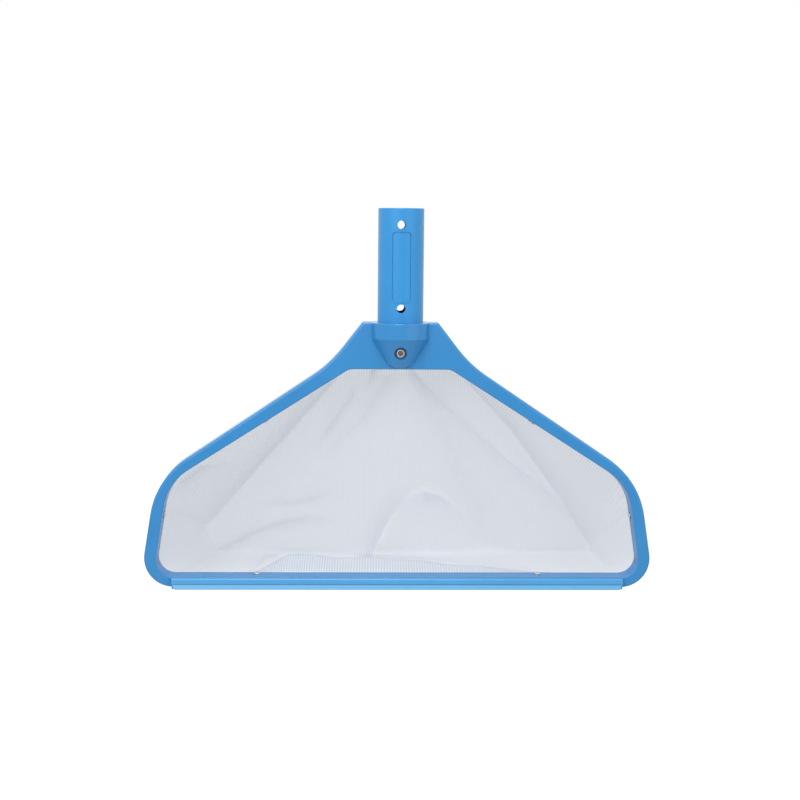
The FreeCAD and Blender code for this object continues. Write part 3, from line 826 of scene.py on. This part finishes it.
def make_cloth(fold_share):
    """The finished cloth: its points, its density where it lies double and where fold shade is
    painted in, and where its ribs show.
    """
    grid = cloth_grid()
    columns, rows = grid.shape[:2]
    row = np.arange(rows)
    hem_rows = ROWS["channel"] + 1
    floor_start = ROWS["channel"] + ROWS["wall"] + ROWS["panel"]
    free = np.zeros(grid.shape[:2], bool)
    free[1:-1, hem_rows : rows - hem_rows] = True
    grid = smoothed(grid, FIRST_SMOOTHING, free)
    places = seen(grid)

    # The folds die out towards the hem, where the clamp ring holds the cloth flat.
    from_hem = np.minimum(row - hem_rows + 1, rows - hem_rows - row)
    from_bar = np.minimum(np.arange(columns), columns - 1 - np.arange(columns))
    hold = from_hem.clip(0, HELD_ROWS) / HELD_ROWS
    hold = hold[None, :] * eased(from_bar.clip(0, HELD_COLUMNS) / HELD_COLUMNS)[:, None]
    off_floor = np.clip((floor_start - row) / FLOOR_ROWS, 0, 1)[None, :]
    grid[..., 1] += fold_depth(places) * hold * fold_share * off_floor

    # The floor's front edge stands up as a flap behind the bottom bar.
    from_crest = row - (rows - hem_rows - FLAP_CREST)
    flap = np.exp(-((from_crest / FLAP_WIDTH) ** 2))[None, :] * (row > floor_start)
    x = grid[..., 0]
    rise = np.interp(x, *FLAP_RISE)
    short, long = (np.sin(x / wave) for wave in FLAP_WAVES)
    ripple = FLAP_RIPPLE / max(FLAP_RISE[1]) * short * long
    grid[..., 2] += rise * (1 + ripple) * flap * fold_share
    grid = smoothed(grid, LAST_SMOOTHING, free)

    patch = step_over(to_line(places, PATCH_EDGE)[0], PATCH_SOFT)
    patch = patch * (places[..., 0] < PATCH_END)
    doubled_and_fold_shade = PATCH_DENSITY * patch
    # Pleats make the cloth denser, which paints shade along its folds.
    for line, density, left, right in PLEATS_AND_FOLD_SHADE:
        signed, share = to_line(places, line)
        width = np.where(signed < 0, left, right)
        band = np.exp(-((np.abs(signed) / width) ** PLEAT_SHADE_POWER))
        doubled_and_fold_shade += faded(density, share) * band
    # The ribs show most next to the bars, where the cloth is drawn tight over the hem.
    mouth = np.concatenate([HEM, HEM[::-1] * (-1, 1)])
    from_mouth = to_line(places, mouth)[0]
    ribbed = RIBS_EVERYWHERE + RIBS_AT_HEM * np.exp(-((from_mouth / RIBBED_BAND) ** 2))
    return grid, doubled_and_fold_shade, ribbed


def grid_mesh(name, grid):
    """A mesh of quads from a grid of points in mm."""
    columns, rows = grid.shape[:2]
    mesh = bpy.data.meshes.new(name)
    index = np.arange(columns * rows).reshape(columns, rows)
    faces = np.stack(
        [index[:-1, :-1], index[:-1, 1:], index[1:, 1:], index[1:, :-1]], axis=-1
    ).reshape(-1, 4)
    mesh.from_pydata((grid.reshape(-1, 3) * MM).tolist(), [], faces.tolist())
    mesh.update()
    piece = bpy.data.objects.new(name, mesh)
    bpy.context.scene.collection.objects.link(piece)
    return piece


def lay_out(piece, grid):
    """The flat cloth as a UV map in metres: u across the ribs, v down them."""
    wide = np.linalg.norm(np.diff(grid, axis=0), axis=2)
    tall = np.linalg.norm(np.diff(grid, axis=1), axis=2)
    middle = grid.shape[1] // 2
    u = np.concatenate([[0], np.cumsum(wide[:, middle])])
    u = np.repeat(u[:, None], grid.shape[1], axis=1)
    v = np.concatenate([np.zeros((len(grid), 1)), np.cumsum(tall, axis=1)], axis=1)
    flat = np.stack([u, v], axis=-1).reshape(-1, 2) * MM
    layer = piece.data.uv_layers.new(name="cloth")
    corner = np.zeros(len(piece.data.loops), int)
    piece.data.loops.foreach_get("vertex_index", corner)
    layer.data.foreach_set("uv", flat[corner].reshape(-1).astype(np.float32))
    return float(u.max() * MM), float(v.max() * MM)


TAPE_POINTS = 420  # round the mouth
TAPE_STEPS = 4  # across the tape
TAPE_SHORT = 0.2  # how much narrower than the channel's depth the tape is, in mm


def hem_tape(thickness):
    """The tape hem: a band along the mouth, drawn out from a ring of points."""
    bpy.ops.object.select_all(action="DESELECT")
    around = np.concatenate([HEM, HEM[-2::-1] * (-1, 1)])
    run = np.concatenate([[0], np.cumsum(np.linalg.norm(np.diff(around, axis=0), axis=1))])
    spaced = np.linspace(0, run[-1], TAPE_POINTS, endpoint=False)
    ring = np.stack([np.interp(spaced, run, around[:, i]) for i in (0, 1)], axis=-1)
    bpy.ops.mesh.primitive_circle_add(vertices=TAPE_POINTS, radius=0.2, fill_type="NOTHING")
    tape = bpy.context.object
    tape.name = "hem_band"
    for vertex, (x, z) in zip(tape.data.vertices, ring):
        vertex.co = (x * MM, HEM_FRONT * MM, z * MM)
    depth = (CHANNEL_BACK - HEM_FRONT - TAPE_SHORT) * MM
    bpy.ops.object.mode_set(mode="EDIT")
    bpy.ops.mesh.select_all(action="SELECT")
    for _ in range(TAPE_STEPS):
        bpy.ops.mesh.extrude_region_move(
            TRANSFORM_OT_translate={"value": (0, depth / TAPE_STEPS, 0)}
        )
    bpy.ops.mesh.select_all(action="SELECT")
    bpy.ops.mesh.normals_make_consistent(inside=False)
    bpy.ops.object.mode_set(mode="OBJECT")
    layer = tape.data.uv_layers.new(name="cloth")
    for loop in tape.data.loops:
        vertex = tape.data.vertices[loop.vertex_index]
        place = loop.vertex_index % TAPE_POINTS
        layer.data[loop.index].uv = (spaced[place] * MM, vertex.co.y)
    for kind, settings in (
        ("SOLIDIFY", {"thickness": thickness, "offset": 0.0}),
        ("BEVEL", {"width": 0.2 * MM, "segments": 2, "limit_method": "ANGLE"}),
    ):
        modifier = tape.modifiers.new(kind.title(), kind)
        for key, value in settings.items():
            setattr(modifier, key, value)
        bpy.ops.object.modifier_apply(modifier=modifier.name)
    bpy.ops.object.shade_smooth_by_angle(angle=math.radians(40))
    return tape


class SKIMMER_OT_socket(bpy.types.Operator):
    """Finishes the pole socket"""

    bl_idname = "skimmer.socket"
    bl_label = "Pole socket"

    def execute(self, context):
        finish_nodes(
            moulded_plastic("Polypropylene socket", colours().socket, 0.3), "handle_socket"
        )
        return {"FINISHED"}


class SKIMMER_OT_frame(bpy.types.Operator):
    """Finishes the moulded frame and the ring that clamps the net in it"""

    bl_idname = "skimmer.frame"
    bl_label = "Frame and clamp ring"

    def execute(self, context):
        finish_nodes(moulded_plastic("Polypropylene frame", colours().frame, 0.16), "frame")
        finish_nodes(
            moulded_plastic("Natural polypropylene", colours().clamp, 0.45),
            "net_clamp_ring",
        )
        return {"FINISHED"}


class SKIMMER_OT_fasteners(bpy.types.Operator):
    """Finishes the hub's screw and nut and the six blind rivets"""

    bl_idname = "skimmer.fasteners"
    bl_label = "Screw, nut and rivets"

    def execute(self, context):
        low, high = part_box("socket_screw")
        recess = (tuple((low + high) / 2), 2.7 * MM)  # its middle and radius
        finish_nodes(
            worked_metal("Nickel-plated screw", "#d9d4cc", 0.2, 0.9, 0.01, recess),
            "socket_screw",
        )
        finish_nodes(worked_metal("Nickel-plated nut", "#d9d4cc", 0.2, 0.9, 0.01), "socket_nut")
        rivets = [name for name in frame["nodes"] if name.startswith("rivet_")]
        mandrels = [name for name in rivets if "mandrel" in name]
        heads = [name for name in rivets if "mandrel" not in name]
        finish_nodes(worked_metal("Aluminium rivet", "#dfe1e3", 0.3, 0.7, 0.012), *heads)
        finish_nodes(worked_metal("Drawn steel mandrel", "#77736e", 0.4, 0.5, 0.01), *mandrels)
        return {"FINISHED"}


class SKIMMER_OT_net(bpy.types.Operator):
    """Makes the mesh bag and its tape hem"""

    bl_idname = "skimmer.net"
    bl_label = "Mesh bag and hem"

    def execute(self, context):
        grid, doubled_and_fold_shade, ribbed = make_cloth(sizes().fold_depth)
        bag = grid_mesh("mesh_bag", grid)
        width, length = lay_out(bag, grid)
        for name, values in (("doubled_and_fold_shade", doubled_and_fold_shade), ("ribbed", ribbed)):
            layer = bag.data.attributes.new(name, "FLOAT", "POINT")
            layer.data.foreach_set("value", values.reshape(-1).astype(np.float32))
        for face in bag.data.polygons:
            face.use_smooth = True
        bag.data.materials.append(knitted_mesh("Warp-knitted polyester net", colours().mesh))
        tape = hem_tape(sizes().hem_thickness)
        tape.data.materials.append(woven_tape("Woven polyester tape", colours().tape))
        for piece, node, slot in (
            (bag, "net_bag", "net_mesh"),
            (tape, "net_hem", "hem_tape"),
        ):
            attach(piece, HEAD)
            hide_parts(node)
        return {"FINISHED"}


class SKIMMER_OT_lip(bpy.types.Operator):
    """Finishes the clip-on strip and its soft blade"""

    bl_idname = "skimmer.lip"
    bl_label = "Lip strip and blade"

    def execute(self, context):
        finish_nodes(moulded_plastic("Extruded strip", colours().strip, 0.3), "lip_strip")
        finish_nodes(soft_vinyl("Soft vinyl blade", colours().blade), "lip_blade")
        return {"FINISHED"}


# The softboxes: each one's place and what it is aimed at, in metres, how wide it is, and
# its power as a share of the key's.
SOFTBOXES = (
    ("Key softbox", (-0.8, -1.3, 0.55), (0.0, 0.0, -0.2), 1.1, 1.0),
    ("Fill softbox", (1.1, -1.1, 0.1), (0.0, 0.0, -0.2), 1.2, 0.3),
    ("Top softbox", (-0.1, -0.55, 0.9), (0.0, 0.0, -0.1), 0.5, 0.7),
)


class SKIMMER_OT_studio(bpy.types.Operator):
    """Sets the floor, the lamps, the white surroundings and the camera"""

    bl_idname = "skimmer.studio"
    bl_label = "Studio"

    def execute(self, context):
        self.make_floor()
        self.make_surroundings()
        for name, place, aim, size, share in SOFTBOXES:
            data = bpy.data.lights.new(name, "AREA")
            data.shape = "SQUARE"
            data.size = size
            data.energy = sizes().lamp_power * share
            lamp = bpy.data.objects.new(name, data)
            lamp.location = place
            way = Vector(aim) - Vector(place)
            lamp.rotation_euler = way.to_track_quat("-Z", "Y").to_euler()
            bpy.context.scene.collection.objects.link(lamp)
        self.place_camera()
        bpy.context.scene.view_settings.view_transform = "Standard"
        return {"FINISHED"}

    def make_floor(self):
        """A pale floor that the camera sees as white where no shadow falls on it."""
        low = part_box("lip_blade")[0].z - sizes().floor_drop
        bpy.ops.object.select_all(action="DESELECT")
        bpy.ops.mesh.primitive_plane_add(size=12.0, location=(0, 0, low))
        floor = bpy.context.object
        floor.name = "studio_floor"
        material, tree, shader = new_material("Matt white floor")
        shader.inputs["Base Color"].default_value = (*colours().floor, 1.0)
        shader.inputs["Roughness"].default_value = 0.9
        path = add(tree, "LightPath", {})
        glow = add(
            tree,
            "Math",
            {"operation": "MULTIPLY", 0: path.outputs["Is Camera Ray"], 1: sizes().floor_glow},
        )
        shader.inputs["Emission Color"].default_value = (1.0, 1.0, 1.0, 1.0)
        tree.links.new(glow.outputs[0], shader.inputs["Emission Strength"])
        floor.data.materials.append(material)

    def make_surroundings(self):
        """Surroundings that are white to the eye and in reflections, and a softer light
        on the object."""
        world = bpy.data.worlds.new("Studio surroundings")
        bpy.context.scene.world = world
        world.use_nodes = True
        tree = world.node_tree
        tree.nodes.clear()
        path = add(tree, "LightPath", {})
        seen_or_glossy = add(
            tree,
            "Math",
            {
                "operation": "MAXIMUM",
                0: path.outputs["Is Camera Ray"],
                1: path.outputs["Is Glossy Ray"],
            },
        )
        white = add(
            tree,
            "Math",
            {
                "operation": "MAXIMUM",
                0: seen_or_glossy.outputs[0],
                1: path.outputs["Is Transmission Ray"],
            },
        )
        strength = add(
            tree,
            "MapRange",
            {"Value": white.outputs[0], "To Min": sizes().surround_light, "To Max": 1.0},
        )
        shader = add(
            tree,
            "Background",
            {"Color": (1.0, 1.0, 1.0, 1.0), "Strength": strength.outputs["Result"]},
        )
        add(tree, "OutputWorld", {"Surface": shader.outputs["Background"]})

    def place_camera(self):
        """The camera where the photograph was taken from."""
        data = bpy.data.cameras.new("Camera")
        data.lens = LENS
        data.sensor_width = 36.0
        data.clip_end = 50.0
        camera = bpy.data.objects.new("Camera", data)
        camera.location = [v * MM for v in EYE]
        way = (Vector(AIM) - Vector(EYE)).to_track_quat("-Z", "Y")
        tilt = Quaternion((0.0, 0.0, 1.0), math.radians(ROLL))
        camera.rotation_euler = (way @ tilt).to_euler()
        bpy.context.scene.collection.objects.link(camera)
        bpy.context.scene.camera = camera


OPERATORS = (
    SKIMMER_OT_studio,
    SKIMMER_OT_socket,
    SKIMMER_OT_frame,
    SKIMMER_OT_fasteners,
    SKIMMER_OT_net,
    SKIMMER_OT_lip,
)


class SKIMMER_PT_panel(bpy.types.Panel):
    """Sizes, colours and pieces of the skimmer net"""

    bl_idname = "SKIMMER_PT_panel"
    bl_label = "Skimmer net"
    bl_space_type = "VIEW_3D"
    bl_region_type = "UI"
    bl_category = "Skimmer net"

    def draw(self, context):
        for group in (context.scene.skimmer_sizes, context.scene.skimmer_colours):
            box = self.layout.box()
            for name in group.__annotations__:
                box.prop(group, name)
        for operator in OPERATORS:
            self.layout.operator(operator.bl_idname)


CLASSES = (SkimmerColours, SkimmerSizes, *OPERATORS, SKIMMER_PT_panel)


def register():
    for item in CLASSES:
        bpy.utils.register_class(item)
    bpy.types.Scene.skimmer_colours = PointerProperty(type=SkimmerColours)
    bpy.types.Scene.skimmer_sizes = PointerProperty(type=SkimmerSizes)


def unregister():
    del bpy.types.Scene.skimmer_colours
    del bpy.types.Scene.skimmer_sizes
    for item in reversed(CLASSES):
        bpy.utils.unregister_class(item)


def main():
    register()
    for operator in OPERATORS:
        group, name = operator.bl_idname.split(".")
        getattr(getattr(bpy.ops, group), name)()


if __name__ == "__main__":
    main()
